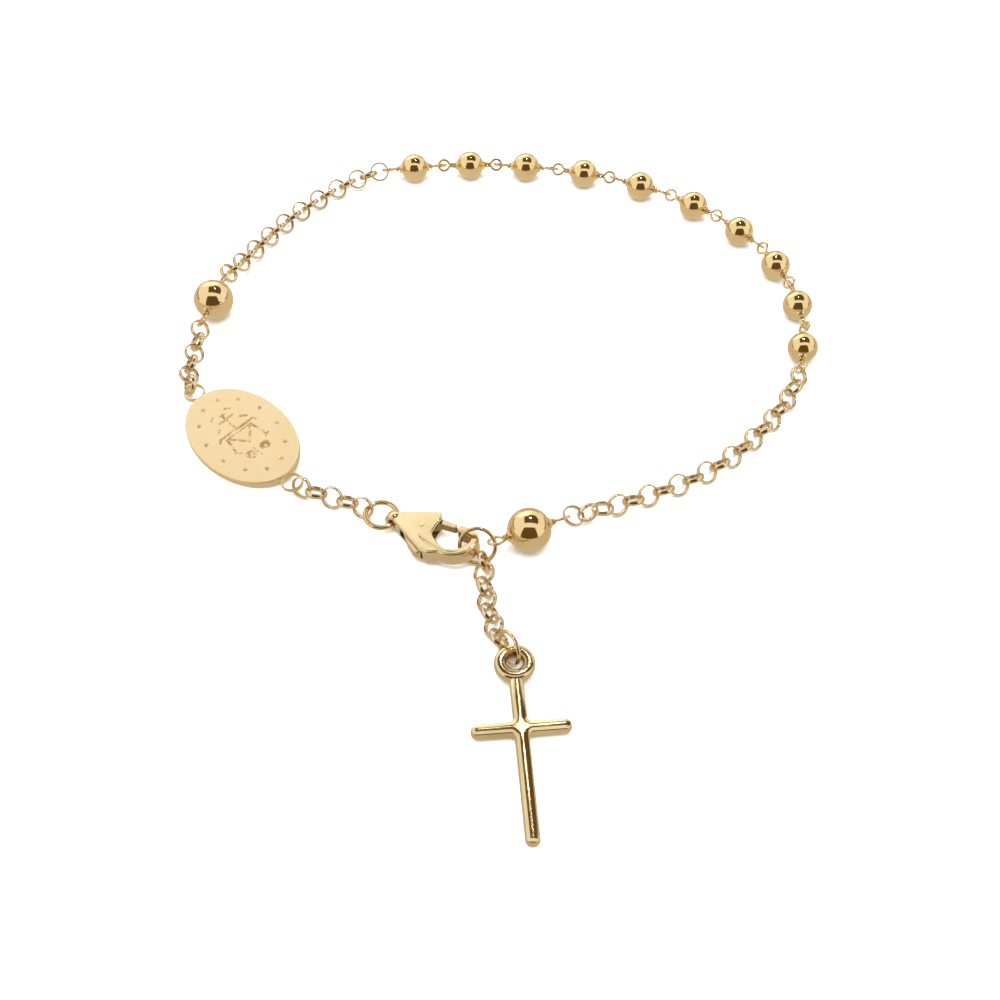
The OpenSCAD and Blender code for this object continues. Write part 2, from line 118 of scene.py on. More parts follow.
def gold(name, pale, deep, rough, scratches, grain=SCRATCH_GRAIN, worn=None):
    """Yellow gold: tone drifts between two colours, gloss varies, and fine scratches break it.
    The last colour, if given, is blended in by a point attribute: painted shade on the clasp,
    its lever and the cross, and a darker tone where the medal's design is cut in."""
    material = bpy.data.materials.new(name)
    material.use_nodes = True
    nodes, links = material.node_tree.nodes, material.node_tree.links
    shader = nodes["Principled BSDF"]
    coords = nodes.new("ShaderNodeTexCoord").outputs["Object"]
    shader.inputs["Metallic"].default_value = 1.0
    tone = nodes.new("ShaderNodeMix")
    tone.data_type = "RGBA"
    tone.inputs["A"].default_value = (*pale, 1)
    tone.inputs["B"].default_value = (*deep, 1)
    drift = add_noise(nodes, links, coords, TONE_GRAIN)
    links.new(add_range(nodes, links, drift, 0.0, 1.0), tone.inputs["Factor"])
    colour = tone.outputs["Result"]
    # Mixes in the darker colour by a point attribute: painted shade on the clasp and the cross, a
    # darker cut design on the medal.
    if worn:
        mark = nodes.new("ShaderNodeAttribute")
        mark.attribute_name = "worn"
        cut = nodes.new("ShaderNodeMix")
        cut.data_type = "RGBA"
        cut.inputs["B"].default_value = (*worn, 1)
        links.new(mark.outputs["Fac"], cut.inputs["Factor"])
        links.new(colour, cut.inputs["A"])
        colour = cut.outputs["Result"]
    links.new(colour, shader.inputs["Base Color"])
    gloss = add_noise(nodes, links, coords, GLOSS_GRAIN, 4.0)
    links.new(add_range(nodes, links, gloss, *rough), shader.inputs["Roughness"])
    fine = add_noise(nodes, links, coords, grain, 3.0, SCRATCH_STRETCH)
    bump = nodes.new("ShaderNodeBump")
    bump.inputs["Strength"].default_value = scratches
    bump.inputs["Distance"].default_value = SCRATCH_DEPTH
    links.new(fine, bump.inputs["Height"])
    links.new(bump.outputs["Normal"], shader.inputs["Normal"])
    return material


bead_gold = gold("mirror_polished_gold", (0.96, 0.76, 0.42), (0.90, 0.68, 0.35), (0.05, 0.11), 0.10)


def outward(mesh, weld=False):
    """Turns all faces of a mesh outward, and first welds its points where they meet."""
    built = bmesh.new()
    built.from_mesh(mesh)
    if weld:
        bmesh.ops.remove_doubles(built, verts=built.verts, dist=WELD)
        bare = [edge for edge in built.edges if not edge.link_faces]
        bmesh.ops.delete(built, geom=bare, context="EDGES")
    bmesh.ops.recalc_face_normals(built, faces=built.faces)
    built.to_mesh(mesh)
    built.free()
    return mesh


def turned(name, profile, steps):
    """Spins a closed profile of (x, r) points round the X axis."""
    mesh = bpy.data.meshes.new(name)
    turns = [2 * math.pi * i / steps for i in range(steps)]
    points = [(x, r * math.cos(t), r * math.sin(t)) for t in turns for x, r in profile]
    n = len(profile)
    faces = [
        (i * n + j, i * n + (j + 1) % n, (i + 1) % steps * n + (j + 1) % n, (i + 1) % steps * n + j)
        for i in range(steps)
        for j in range(n)
    ]
    mesh.from_pydata(points, [], faces)
    outward(mesh)
    mesh.shade_smooth()
    return mesh


def bead_profile(r, arcs):
    rim_x = r + RIM_STANDS_OUT
    foot = math.asin(1.12 * RIM_R / r)
    ball = [
        (r * math.cos(a), r * math.sin(a))
        for a in (foot + (math.pi - 2 * foot) * i / arcs for i in range(arcs + 1))
    ]
    rim = [
        (rim_x, BORE_R), (rim_x + 0.02 * MM, BORE_R + 0.08 * MM), (rim_x, RIM_R - 0.1 * MM),
        (rim_x - 0.05 * MM, RIM_R - 0.02 * MM), (rim_x - 0.1 * MM, RIM_R),
        (r * math.cos(foot) + 0.02 * MM, RIM_R),
    ]
    return rim + ball + [(-x, y) for x, y in reversed(rim)]


def new_tree(name, output, **inputs):
    """An empty tree that takes the named inputs, underscores for spaces, and gives one shape."""
    tree = bpy.data.node_groups.new(name, "GeometryNodeTree")
    for title, kind in inputs.items():
        tree.interface.new_socket(
            title.replace("_", " "), in_out="INPUT", socket_type="NodeSocket" + kind
        )
    tree.interface.new_socket(output, in_out="OUTPUT", socket_type="NodeSocketGeometry")
    return tree


def add_facing(tree, primary, secondary):
    """A rotation that turns two axes of a piece to the directions kept with each point."""
    facing = tree.nodes.new("FunctionNodeAxesToRotation")
    facing.primary_axis, facing.secondary_axis = primary[0], secondary[0]
    for socket, (_, attribute) in enumerate((primary, secondary)):
        read = tree.nodes.new("GeometryNodeInputNamedAttribute")
        read.data_type = "FLOAT_VECTOR"
        read.inputs["Name"].default_value = attribute
        tree.links.new(read.outputs["Attribute"], facing.inputs[socket])
    return facing.outputs["Rotation"]


def add_finish(tree, pieces, given, out):
    """Makes the copies real, gives them their metal and ends the tree."""
    real = tree.nodes.new("GeometryNodeRealizeInstances")
    tree.links.new(pieces, real.inputs["Geometry"])
    finish = tree.nodes.new("GeometryNodeSetMaterial")
    tree.links.new(real.outputs["Geometry"], finish.inputs["Geometry"])
    tree.links.new(given.outputs["Finish"], finish.inputs["Material"])
    tree.links.new(finish.outputs["Geometry"], out.inputs[0])


def string_tree(name):
    """A tree that sets a piece out on points, its X along the string and its Z to the face."""
    tree = new_tree(name, "Pieces", Places="Geometry", Piece="Object", Size="Float",
                    Uneven_turn="Float", Seed="Int", Finish="Material")
    new, link = tree.nodes.new, tree.links.new
    given, out = new("NodeGroupInput"), new("NodeGroupOutput")
    piece = new("GeometryNodeObjectInfo")
    link(given.outputs["Piece"], piece.inputs["Object"])
    placed = new("GeometryNodeInstanceOnPoints")
    link(given.outputs["Places"], placed.inputs["Points"])
    link(piece.outputs["Geometry"], placed.inputs["Instance"])
    link(add_facing(tree, ("X", "along"), ("Z", "face")), placed.inputs["Rotation"])
    link(given.outputs["Size"], placed.inputs["Scale"])
    chance = new("FunctionNodeRandomValue")
    chance.data_type = "FLOAT"
    link(given.outputs["Seed"], chance.inputs["Seed"])
    link(given.outputs["Uneven turn"], chance.inputs[3])
    about_x = new("ShaderNodeCombineXYZ")
    link(chance.outputs[1], about_x.inputs["X"])
    turned_a_little = new("GeometryNodeRotateInstances")
    link(placed.outputs["Instances"], turned_a_little.inputs["Instances"])
    link(about_x.outputs["Vector"], turned_a_little.inputs["Rotation"])
    add_finish(tree, turned_a_little.outputs["Instances"], given, out)
    return tree


def grown(name, tree, places, **values):
    """Runs a tree on places, rows of (point, along, face), and keeps the result as a mesh."""
    mesh = bpy.data.meshes.new(name)
    mesh.from_pydata([p[0] for p in places], [], [])
    for k, attribute in ((1, "along"), (2, "face")):
        vectors = mesh.attributes.new(attribute, "FLOAT_VECTOR", "POINT")
        vectors.data.foreach_set("vector", np.array([p[k] for p in places], np.float32).ravel())
    seedling = bpy.data.objects.new(name + "_places", mesh)
    bpy.context.scene.collection.objects.link(seedling)
    modifier = seedling.modifiers.new("tree", "NODES")
    modifier.node_group = tree
    for socket in tree.interface.items_tree:
        if socket.in_out == "INPUT" and socket.name in values:
            modifier[socket.identifier] = values[socket.name]
    seen = seedling.evaluated_get(bpy.context.evaluated_depsgraph_get())
    done = bpy.data.objects.new(name, bpy.data.meshes.new_from_object(seen))
    seedling.modifiers.remove(modifier)
    bpy.data.objects.remove(seedling)
    bpy.context.scene.collection.objects.link(done)
    done.data.name = name
    return done


def pattern(mesh):
    """An object that a tree or a cut reads its shape from, taken away afterwards."""
    piece = bpy.data.objects.new(mesh.name, mesh)
    bpy.context.scene.collection.objects.link(piece)
    piece.hide_render = True
    return piece


def bead_place(node, r):
    """Middle of a bead and the direction of its bore, read from its rims."""
    points = corners(node)
    centre = middle(points)
    rims = points[np.linalg.norm(points - centre, axis=1) > r + 0.5 * RIM_STANDS_OUT]
    return centre, principal(rims)[0]


def square_to(axis, hint=(0.0, 0.0, 1.0)):
    side = np.array(hint) - np.dot(hint, axis) * axis
    return side / np.linalg.norm(side)


string_layout = string_tree("pieces_along_the_string")
small_places = {i: bead_place(f"small_bead_{i}", SMALL_BEAD_R) for i in range(1, 11)}
ball = pattern(turned("small_ball", bead_profile(SMALL_BEAD_R, 44), 72))
small_beads = grown(
    "small_beads", string_layout, [(c, a, square_to(a)) for c, a in small_places.values()],
    **{"Piece": ball, "Size": 1.0, "Uneven turn": 3.0, "Seed": 4, "Finish": bead_gold},
)
bpy.data.objects.remove(ball)
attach(small_beads, "bracelet")
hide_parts(*[f"small_bead_{i}" for i in range(1, 11)])


# Large beads
# The two larger balls either side of the decade, spun and polished as the small ones are.
# Their rims are no wider than the small beads', since both fit the same wire.
LARGE_BEAD_R = 2.0 * MM
large_places = {side: bead_place(f"large_bead_{side}", LARGE_BEAD_R) for side in ("left", "front")}
ball = pattern(turned("large_ball", bead_profile(LARGE_BEAD_R, 60), 96))
large_beads = grown(
    "large_beads", string_layout, [(c, a, square_to(a)) for c, a in large_places.values()],
    **{"Piece": ball, "Size": 1.0, "Uneven turn": 3.0, "Seed": 7, "Finish": bead_gold},
)
bpy.data.objects.remove(ball)
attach(large_beads, "bracelet")
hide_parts("large_bead_left", "large_bead_front")


# Eye pins
# One wire goes through each bead and is bent round into an eye at both ends. Its two legs lie
# side by side where they enter the bead, and two turns of finer wire hold them there.
PIN_WIRE_R = 0.14 * MM
WRAP_R = 0.07 * MM
WRAP_AROUND = 0.26 * MM
WRAP_TURNS = 2
NECK_IN_BEAD = 0.6 * MM
EYE_SPAN = 1.0 * MM
wire_gold = gold("drawn_gold_wire", (0.95, 0.76, 0.45), (0.84, 0.62, 0.34), (0.05, 0.12), 0.14)


def tube(name, path, radii, sides, closed=False):
    """A round wire along a path, its section carried along without twist."""
    path = np.array(path, float)
    n = len(path)
    if closed:
        heading = np.roll(path, -1, 0) - np.roll(path, 1, 0)
    else:
        heading = np.gradient(path, axis=0)
    heading /= np.linalg.norm(heading, axis=1)[:, None]
    side = square_to(heading[0], (0.1, 0.3, 1.0))
    points = []
    for p, h, r in zip(path, heading, np.broadcast_to(radii, n)):
        side = square_to(h, side)
        across = np.cross(h, side)
        points += [
            p + r * (math.cos(t) * side + math.sin(t) * across)
            for t in (2 * math.pi * k / sides for k in range(sides))
        ]
    spans = range(n if closed else n - 1)
    faces = [
        (i * sides + k, i * sides + (k + 1) % sides,
         (i + 1) % n * sides + (k + 1) % sides, (i + 1) % n * sides + k)
        for i in spans
        for k in range(sides)
    ]
    if not closed:
        faces += [tuple(range(sides))[::-1], tuple((n - 1) * sides + k for k in range(sides))]
    mesh = bpy.data.meshes.new(name)
    mesh.from_pydata(points, [], faces)
    mesh.shade_smooth()
    return mesh


def joined(name, parts):
    """One mesh of several, each with its place in it."""
    whole = bmesh.new()
    for part in parts:
        whole.from_mesh(part)
    mesh = bpy.data.meshes.new(name)
    whole.to_mesh(mesh)
    whole.free()
    return mesh


def eye_wire(name, start, eye_x, eye_r):
    """The wire from inside the bead: a neck of two legs, a round eye, and a wrap at the bead."""
    leg = 0.9 * PIN_WIRE_R
    opening = math.asin(leg / eye_r)
    path = [(start - NECK_IN_BEAD, leg, 0), (start, leg, 0), (eye_x - 1.12 * eye_r, leg, 0)]
    for t in np.linspace(math.pi - opening - 0.12, opening + 0.12 - math.pi, 45):
        path.append((eye_x + eye_r * math.cos(t), eye_r * math.sin(t), 0))
    path += [(x, -y, z) for x, y, z in path[2::-1]]
    wire = tube(name, path, PIN_WIRE_R, 12)
    turns = np.linspace(0, 2 * math.pi * WRAP_TURNS, 25 * WRAP_TURNS)
    coil = [(start + WRAP_R + 2 * WRAP_R * t / (2 * math.pi), WRAP_AROUND * math.cos(t),
             WRAP_AROUND * math.sin(t)) for t in turns]
    whole = joined(name + "_wrapped", [wire, tube(name + "_wrap", coil, WRAP_R, 8)])
    whole.shade_smooth()
    return whole


def eye_places(pin, centre, bore):
    """The two ends of a pin: which way each points, and which way its eye faces."""
    points = corners(pin)
    places = []
    for side in (bore, -bore):
        t = (points - centre) @ side
        reach = t.max()
        eye = points[t > reach - EYE_SPAN]
        places.append((centre, side, principal(eye)[-1]))
    return places, reach


def eye_pins(name, pins, bead_r, eye_r, seed):
    places = []
    for pin, (centre, bore) in pins.items():
        ends, reach = eye_places(pin, centre, bore)
        places += ends
    eye_x = reach - eye_r - PIN_WIRE_R
    wire = pattern(eye_wire(name + "_wire", bead_r + RIM_STANDS_OUT, eye_x, eye_r))
    done = grown(
        name, string_layout, places,
        **{"Piece": wire, "Size": 1.0, "Uneven turn": 0.0, "Seed": seed, "Finish": wire_gold},
    )
    bpy.data.objects.remove(wire)
    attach(done, "bracelet")
    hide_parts(*pins)


SMALL_EYE_R = 0.59 * MM
LARGE_EYE_R = 0.69 * MM
small_pins = {f"small_pin_{i}": place for i, place in small_places.items()}
large_pins = {f"large_pin_{side}": place for side, place in large_places.items()}
eye_pins("small_eye_pins", small_pins, SMALL_BEAD_R, SMALL_EYE_R, 11)
eye_pins("large_eye_pins", large_pins, LARGE_BEAD_R, LARGE_EYE_R, 12)


# Belcher chain
# Round links of half-round wire, each threaded through its neighbours, soldered shut and
# tumbled until their edges are soft. Five runs join the beads, the medal, the clasp and the cross.
LINK_D = 2.12 * MM
LINK_BAND_W = 0.52 * MM
LINK_BAND_T = 0.22 * MM
LINK_STEPS = 48
LINK_SIDES = 14
chain_gold = gold("tumbled_gold", (0.93, 0.77, 0.51), (0.76, 0.60, 0.39), (0.05, 0.12), 0.16)


def chain_tree(name):
    """A tree that bends a flattened band into a round link and sets one on each point."""
    tree = new_tree(name, "Links", Places="Geometry", Link_diameter="Float", Band_width="Float",
                    Band_thickness="Float", Finish="Material")
    new, link = tree.nodes.new, tree.links.new
    given, out = new("NodeGroupInput"), new("NodeGroupOutput")
    gap = new("ShaderNodeMath")
    gap.operation = "SUBTRACT"
    link(given.outputs["Link diameter"], gap.inputs[0])
    link(given.outputs["Band thickness"], gap.inputs[1])
    half = new("ShaderNodeMath")
    half.operation = "MULTIPLY"
    half.inputs[1].default_value = 0.5
    link(gap.outputs["Value"], half.inputs[0])
    ring = new("GeometryNodeCurvePrimitiveCircle")
    ring.inputs["Resolution"].default_value = LINK_STEPS
    link(half.outputs["Value"], ring.inputs["Radius"])
    band = new("GeometryNodeCurvePrimitiveCircle")
    band.inputs["Resolution"].default_value = LINK_SIDES
    band.inputs["Radius"].default_value = 0.5
    flat = new("ShaderNodeCombineXYZ")
    link(given.outputs["Band thickness"], flat.inputs["X"])
    link(given.outputs["Band width"], flat.inputs["Y"])
    flat.inputs["Z"].default_value = 1.0
    shaped = new("GeometryNodeTransform")
    link(band.outputs["Curve"], shaped.inputs["Geometry"])
    link(flat.outputs["Vector"], shaped.inputs["Scale"])
    sweep = new("GeometryNodeCurveToMesh")
    link(ring.outputs["Curve"], sweep.inputs["Curve"])
    link(shaped.outputs["Geometry"], sweep.inputs["Profile Curve"])
    placed = new("GeometryNodeInstanceOnPoints")
    link(given.outputs["Places"], placed.inputs["Points"])
    link(sweep.outputs["Mesh"], placed.inputs["Instance"])
    link(add_facing(tree, ("Z", "face"), ("X", "along")), placed.inputs["Rotation"])
    add_finish(tree, placed.outputs["Instances"], given, out)
    return tree


def loose_parts(node):
    """The points of each solid of a node, found by the triangles that share them."""
    built = bmesh.new()
    built.from_mesh(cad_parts[node].data)
    bmesh.ops.remove_doubles(built, verts=built.verts, dist=1e-7)
    built.verts.ensure_lookup_table()
    unseen, parts = set(built.verts), []
    while unseen:
        front = [unseen.pop()]
        part = []
        while front:
            vert = front.pop()
            part.append(vert.co[:])
            for edge in vert.link_edges:
                other = edge.other_vert(vert)
                if other in unseen:
                    unseen.discard(other)
                    front.append(other)
        parts.append(np.array(part))
    built.free()
    return parts


def ring_place(points):
    """Middle of a ring, a direction across it and the way it faces."""
    axes = principal(points)
    local = (points - points.mean(0)) @ axes.T
    return points.mean(0) + middle(local) @ axes, axes[0], axes[2]


chain_layout = chain_tree("belcher_links")
for run in ("front", "back", "left", "clasp", "pendant"):
    node = f"chain_{run}"
    links_of_run = grown(
        f"belcher_links_{run}", chain_layout, [ring_place(part) for part in loose_parts(node)],
        **{"Link diameter": LINK_D, "Band width": LINK_BAND_W, "Band thickness": LINK_BAND_T,
           "Finish": chain_gold},
    )
    links_of_run.data.shade_smooth()
    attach(links_of_run, "bracelet")
    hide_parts(node)


# Jump rings
# Rings of round wire, sprung open and closed again: a fine line shows where their ends meet.
# One joins the clasp to the chain, one hangs the cross, and the clasp hooks into the third.
def jump_ring(node, joint_at):
    points = corners(node)
    centre, across, face = ring_place(points)
    local = (points - centre) @ np.array([across, np.cross(face, across), face]).T
    wire_r = np.ptp(local[:, 2]) / 2
    ring_r = np.ptp(local[:, 0]) / 2 - wire_r
    turns = np.linspace(0, 2 * math.pi, 160, endpoint=False)
    turns = np.sort(np.concatenate([turns, joint_at + np.linspace(-0.03, 0.03, 13)]))
    path = [centre + ring_r * (math.cos(t) * across + math.sin(t) * np.cross(face, across))
            for t in turns]
    pinch = 1 - 0.3 * np.exp(-(((turns - joint_at) / 0.012) ** 2))
    mesh = tube(f"round_wire_{node}", path, wire_r * pinch, 24, closed=True)
    ring = bpy.data.objects.new(f"round_wire_{node}", mesh)
    bpy.context.scene.collection.objects.link(ring)
    ring.data.materials.append(wire_gold)
    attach(ring, "bracelet")
    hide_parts(node)


jump_ring("jump_ring_end", 1.9)
jump_ring("jump_ring_clasp", 4.4)
jump_ring("jump_ring_cross", 2.6)


# Medal
# An oval struck from thick sheet, satin after years of wear. Twelve small stars go round it,
# and a cross on a bar and two hearts in the middle are nearly worn away. Its back is plain.
MEDAL_L = 13.7 * MM
MEDAL_W = 9.0 * MM
MEDAL_T = 0.7 * MM
MEDAL_EDGE_R = 0.12 * MM
CUT_DEPTH = 0.06 * MM
STARS = 12
STAR_RING = (5.25, 3.3)
STAR_SIZE = 0.36
HEARTS_AT = (2.7, 0.8)
HEART_SIZE = 0.55
RING_SUNK = 0.12 * MM
# The last colour darkens the metal where the design is cut in, as deep as it is cut.
medal_gold = gold(
    "satin_struck_gold", (1.0, 0.83, 0.52), (0.98, 0.79, 0.47), (0.42, 0.52), 0.30, 9000.0,
    worn=(0.50, 0.30, 0.12),
)


def flat_frame(node):
    """Middle of a flat piece, and its long, cross and upward directions."""
    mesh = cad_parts[node].data
    up = np.array(max(mesh.polygons, key=lambda f: f.area).normal)
    up *= math.copysign(1.0, up[2])
    points = corners(node)
    within = points - np.outer(points @ up, up)
    long = principal(within)[0]
    long *= math.copysign(1.0, long[0])
    axes = np.array([long, np.cross(up, long), up])
    return middle(points @ axes.T) @ axes, axes


def stroke(x, y, ax, ay, bx, by, width):
    """How deep a rubbed-down engraved line from a to b cuts at x, y, from 0 to 1."""
    dx, dy = bx - ax, by - ay
    t = np.clip(((x - ax) * dx + (y - ay) * dy) / (dx * dx + dy * dy), 0, 1)
    away = np.hypot(x - ax - t * dx, y - ay - t * dy)
    return np.clip(1.5 - away / width, 0, 1)


def star(x, y, cx, cy, size, turn):
    away = np.hypot(x - cx, y - cy)
    point = 0.66 + 0.34 * np.cos(5 * (np.arctan2(y - cy, x - cx) - turn))
    return np.clip(1.8 * (1 - away / (size * point)), 0, 1)


def heart(x, y, cx, cy, size):
    """The outline of a heart, its point to +X."""
    u, v = (y - cy) / size, -(x - cx) / size
    edge = (u * u + v * v - 0.5) ** 3 - u * u * v ** 3 * 1.2
    return np.clip(1.3 - np.abs(edge) * 9, 0, 1)


def medal_cuts(x, y):
    """Depth of the rubbed-down design at x, y in mm, with the medal's length along x."""
    depth = np.zeros_like(x)
    for k in range(STARS):
        t = 2 * math.pi * (k + 0.5) / STARS
        at_x, at_y = STAR_RING[0] * math.cos(t), STAR_RING[1] * math.sin(t)
        depth = np.maximum(depth, star(x, y, at_x, at_y, STAR_SIZE, t))
    single = [
        (-3.2, 0.0, -0.9, 0.0, 0.12), (-2.55, -0.8, -2.55, 0.8, 0.12),
        (-3.2, -0.25, -3.2, 0.25, 0.1), (-0.85, -1.9, -0.85, 1.9, 0.13),
        (-0.45, -1.5, -0.45, 1.5, 0.08), (2.1, -0.2, 3.3, -0.1, 0.08),
    ]
    paired = [
        (-0.85, 1.9, -0.5, 2.15, 0.1), (-0.4, 1.4, 1.7, 1.75, 0.12), (-0.3, 1.2, 1.3, 0.0, 0.11),
        (1.6, 1.95, 1.85, 1.4, 0.1), (-1.9, 1.2, -1.5, 1.7, 0.12), (-3.7, 0.7, -3.4, 1.1, 0.1),
    ]
    mirrored = [(ax, -ay, bx, -by, width) for ax, ay, bx, by, width in paired]
    for ax, ay, bx, by, width in single + paired + mirrored:
        depth = np.maximum(depth, stroke(x, y, ax, ay, bx, by, width))
    for side in (-1, 1):
        depth = np.maximum(depth, heart(x, y, HEARTS_AT[0], HEARTS_AT[1] * side, HEART_SIZE))
    broad = np.sin(2.9 * x + 1.3 * np.sin(2.1 * y + 0.6)) * np.cos(2.3 * y - 0.9 * x + 0.4)
    fine = np.sin(9.1 * x + 2.0 * np.sin(6.3 * y)) * np.cos(8.3 * y - 3.1 * x + 1.0)
    kept = np.clip(0.5 + 0.55 * broad + 0.5 * fine, 0, 1)
    ring = (x / STAR_RING[0]) ** 2 + (y / STAR_RING[1]) ** 2 > 0.62
    return depth * np.where(ring, 0.55 + 0.45 * kept, 0.15 + 0.85 * kept)


def mark_shade_and_darkening(mesh, shares):
    """Keeps with each point how much of the darker colour it takes, from 0 to 1: painted shade
    on the clasp and the cross, a darker tone in the medal's cut design.
    """
    mark = mesh.attributes.new("worn", "FLOAT", "POINT")
    mark.data.foreach_set("value", shares.astype(np.float32))


def medal_mesh():
    """The oval: a fan of rings on top, cut by the design, a rounded rim and a flat back."""
    spokes, rings = 480, 104
    turns = np.linspace(0, 2 * math.pi, spokes, endpoint=False)
    inner_l, inner_w = MEDAL_L / 2 - MEDAL_EDGE_R, MEDAL_W / 2 - MEDAL_EDGE_R
    shares = np.linspace(0, 1, rings + 1)[1:]
    x = np.outer(shares * inner_l, np.cos(turns))
    y = np.outer(shares * inner_w, np.sin(turns))
    cut = medal_cuts(x / MM, y / MM)
    z = MEDAL_T / 2 - CUT_DEPTH * cut
    rows = [np.stack([x[i], y[i], z[i]], 1) for i in range(rings)]
    # The design is darker as deep as it is cut; the rounded rim is not darkened.
    worn = list(cut)
    away = np.stack([np.cos(turns) * inner_w, np.sin(turns) * inner_l], 1)
    away /= np.linalg.norm(away, axis=1)[:, None]
    rim = np.stack([x[-1], y[-1]], 1)
    upper, lower = (18, 36, 54, 72, 90), (90, 72, 54, 36, 18, 0)
    for side, a in [(1, a) for a in upper] + [(-1, a) for a in lower]:
        rise = MEDAL_T / 2 - MEDAL_EDGE_R + MEDAL_EDGE_R * math.cos(math.radians(a))
        flat = rim + away * MEDAL_EDGE_R * math.sin(math.radians(a))
        rows.append(np.column_stack([flat, np.full(spokes, side * rise)]))
        worn.append(np.zeros(spokes))
    points = [np.array([[0, 0, MEDAL_T / 2]])] + rows + [np.array([[0, 0, -MEDAL_T / 2]])]
    n = len(rows)
    faces = [(0, 1 + k, 1 + (k + 1) % spokes) for k in range(spokes)]
    for i in range(n - 1):
        a, b = 1 + i * spokes, 1 + (i + 1) * spokes
        faces += [
            (a + k, b + k, b + (k + 1) % spokes, a + (k + 1) % spokes) for k in range(spokes)
        ]
    last = 1 + (n - 1) * spokes
    faces += [(last + (k + 1) % spokes, last + k, last + spokes) for k in range(spokes)]
    mesh = bpy.data.meshes.new("oval_medal")
    mesh.from_pydata(np.concatenate(points).tolist(), [], faces)
    mark_shade_and_darkening(mesh, np.concatenate([[0.0], *worn, [0.0]]))
    mesh.shade_smooth()
    return mesh


def coat(item, metal):
    item.data.materials.clear()
    item.data.materials.append(metal)


def placed(mesh, centre, axes):
    """Lays a mesh made at the origin where its piece is, and links it as an object."""
    turn = Matrix([list(column) for column in np.array(axes).T]).to_4x4()
    mesh.transform(Matrix.Translation(Vector(centre)) @ turn)
    done = bpy.data.objects.new(mesh.name, mesh)
    bpy.context.scene.collection.objects.link(done)
    return done


def band_ring(name, centre):
    """A link of the chain, lying flat at centre."""
    middle_r = (LINK_D - LINK_BAND_T) / 2
    points, faces = [], []
    for i in range(LINK_STEPS):
        t = 2 * math.pi * i / LINK_STEPS
        a, b = i * LINK_SIDES, (i + 1) % LINK_STEPS * LINK_SIDES
        for k in range(LINK_SIDES):
            s = 2 * math.pi * k / LINK_SIDES
            r = middle_r + LINK_BAND_T / 2 * math.cos(s)
            z = LINK_BAND_W / 2 * math.sin(s)
            points.append((centre + r * math.cos(t), r * math.sin(t), z))
            after = (k + 1) % LINK_SIDES
            faces.append((a + k, b + k, b + after, a + after))
    mesh = bpy.data.meshes.new(name)
    mesh.from_pydata(points, [], faces)
    return mesh


medal_at, medal_axes = flat_frame("medal")
ring_at = MEDAL_L / 2 + LINK_D / 2 - RING_SUNK
medal_whole = joined(
    "struck_medal", [medal_mesh(), band_ring("ring", ring_at), band_ring("ring", -ring_at)]
)
medal_whole.shade_smooth()
medal = placed(medal_whole, medal_at, medal_axes)
coat(medal, medal_gold)
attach(medal, "bracelet")
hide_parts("medal")


# Clasp body
# A small lobster clasp, cast in one piece: a wedge that carries the lever, the curved hook and
# the eye across its end. It is rolled smooth, and a groove sets the hook off from the wedge.
CLASP_L = 6.05 * MM
CLASP_T = 1.5 * MM
LEVER_T = 0.8 * MM
PIVOT_X = 0.48 * CLASP_L
PIN_R = 0.3 * MM
SLOT_T = 0.92 * MM
CLASP_EDGE = 0.2
CLASP_SWELL = 0.15
SLOT_SPAN = (1.15, 4.36)
EYE_HOLE_R = 0.42 * MM
THROUGH = 3 * MM
TOOL_EDGE = 0.05 * MM
RIVET_FIT = 0.003 * MM
RIVET_PLAY = 0.03 * MM
BOW, BOW_IN, BOW_OUT = (6.1, 0.15), 1.84, 2.3
NOSE, NOSE_IN, NOSE_OUT = (7.117, -0.042), 0.79, 1.28
# The last colour is painted shade, for the inside of the hook and the lever's sides.
clasp_gold = gold("rolled_cast_gold", (0.91, 0.74, 0.44), (0.76, 0.60, 0.34), (0.12, 0.2), 0.22,
                  worn=(0.34, 0.21, 0.08))


def paint_shade(mesh, share):
    """Paints shade on a piece, from a rule on each point's place in mm."""
    mark_shade_and_darkening(mesh, share(*(points_of(mesh).T / MM)))


def clasp_frame():
    """The clasp's eye is its origin, X goes on to the lever's pin and Z along that pin."""
    pin = corners("clasp_pin")
    up = principal(pin)[0]
    up *= math.copysign(1.0, up[2])
    pivot = middle(pin)
    body = corners("clasp_body")
    eye = body[np.abs((body - pivot) @ up) > CLASP_T / 2 + 0.02 * MM]
    eye = eye - np.outer((eye - pivot) @ up, up)
    along = pivot - middle(eye)
    along /= np.linalg.norm(along)
    return pivot - PIVOT_X * along, np.array([along, np.cross(up, along), up])


def arc(centre, r, start, end, steps):
    turns = np.radians(np.linspace(start, end, steps))
    return [(centre[0] + r * math.cos(t), centre[1] + r * math.sin(t)) for t in turns]


def softened(points, steps=9):
    """Rounds the corners of an outline. A point is (x, y), or (x, y, radius of its rounding)."""
    outline = []
    for i, point in enumerate(points):
        if len(point) == 2:
            outline.append(point)
            continue
        here = np.array(point[:2])
        back = np.array(points[i - 1][:2]) - here
        on = np.array(points[(i + 1) % len(points)][:2]) - here
        back /= np.linalg.norm(back)
        on /= np.linalg.norm(on)
        half = math.acos(np.clip(back @ on, -1, 1)) / 2
        inward = (back + on) / np.linalg.norm(back + on)
        centre = here + inward * point[2] / math.sin(half)
        start = here + back * point[2] / math.tan(half) - centre
        end = here + on * point[2] / math.tan(half) - centre
        turn = math.atan2(start[0] * end[1] - start[1] * end[0], start @ end)
        for t in np.linspace(0, turn, steps):
            c, s = math.cos(t), math.sin(t)
            outline.append((centre[0] + c * start[0] - s * start[1],
                            centre[1] + s * start[0] + c * start[1]))
    return outline


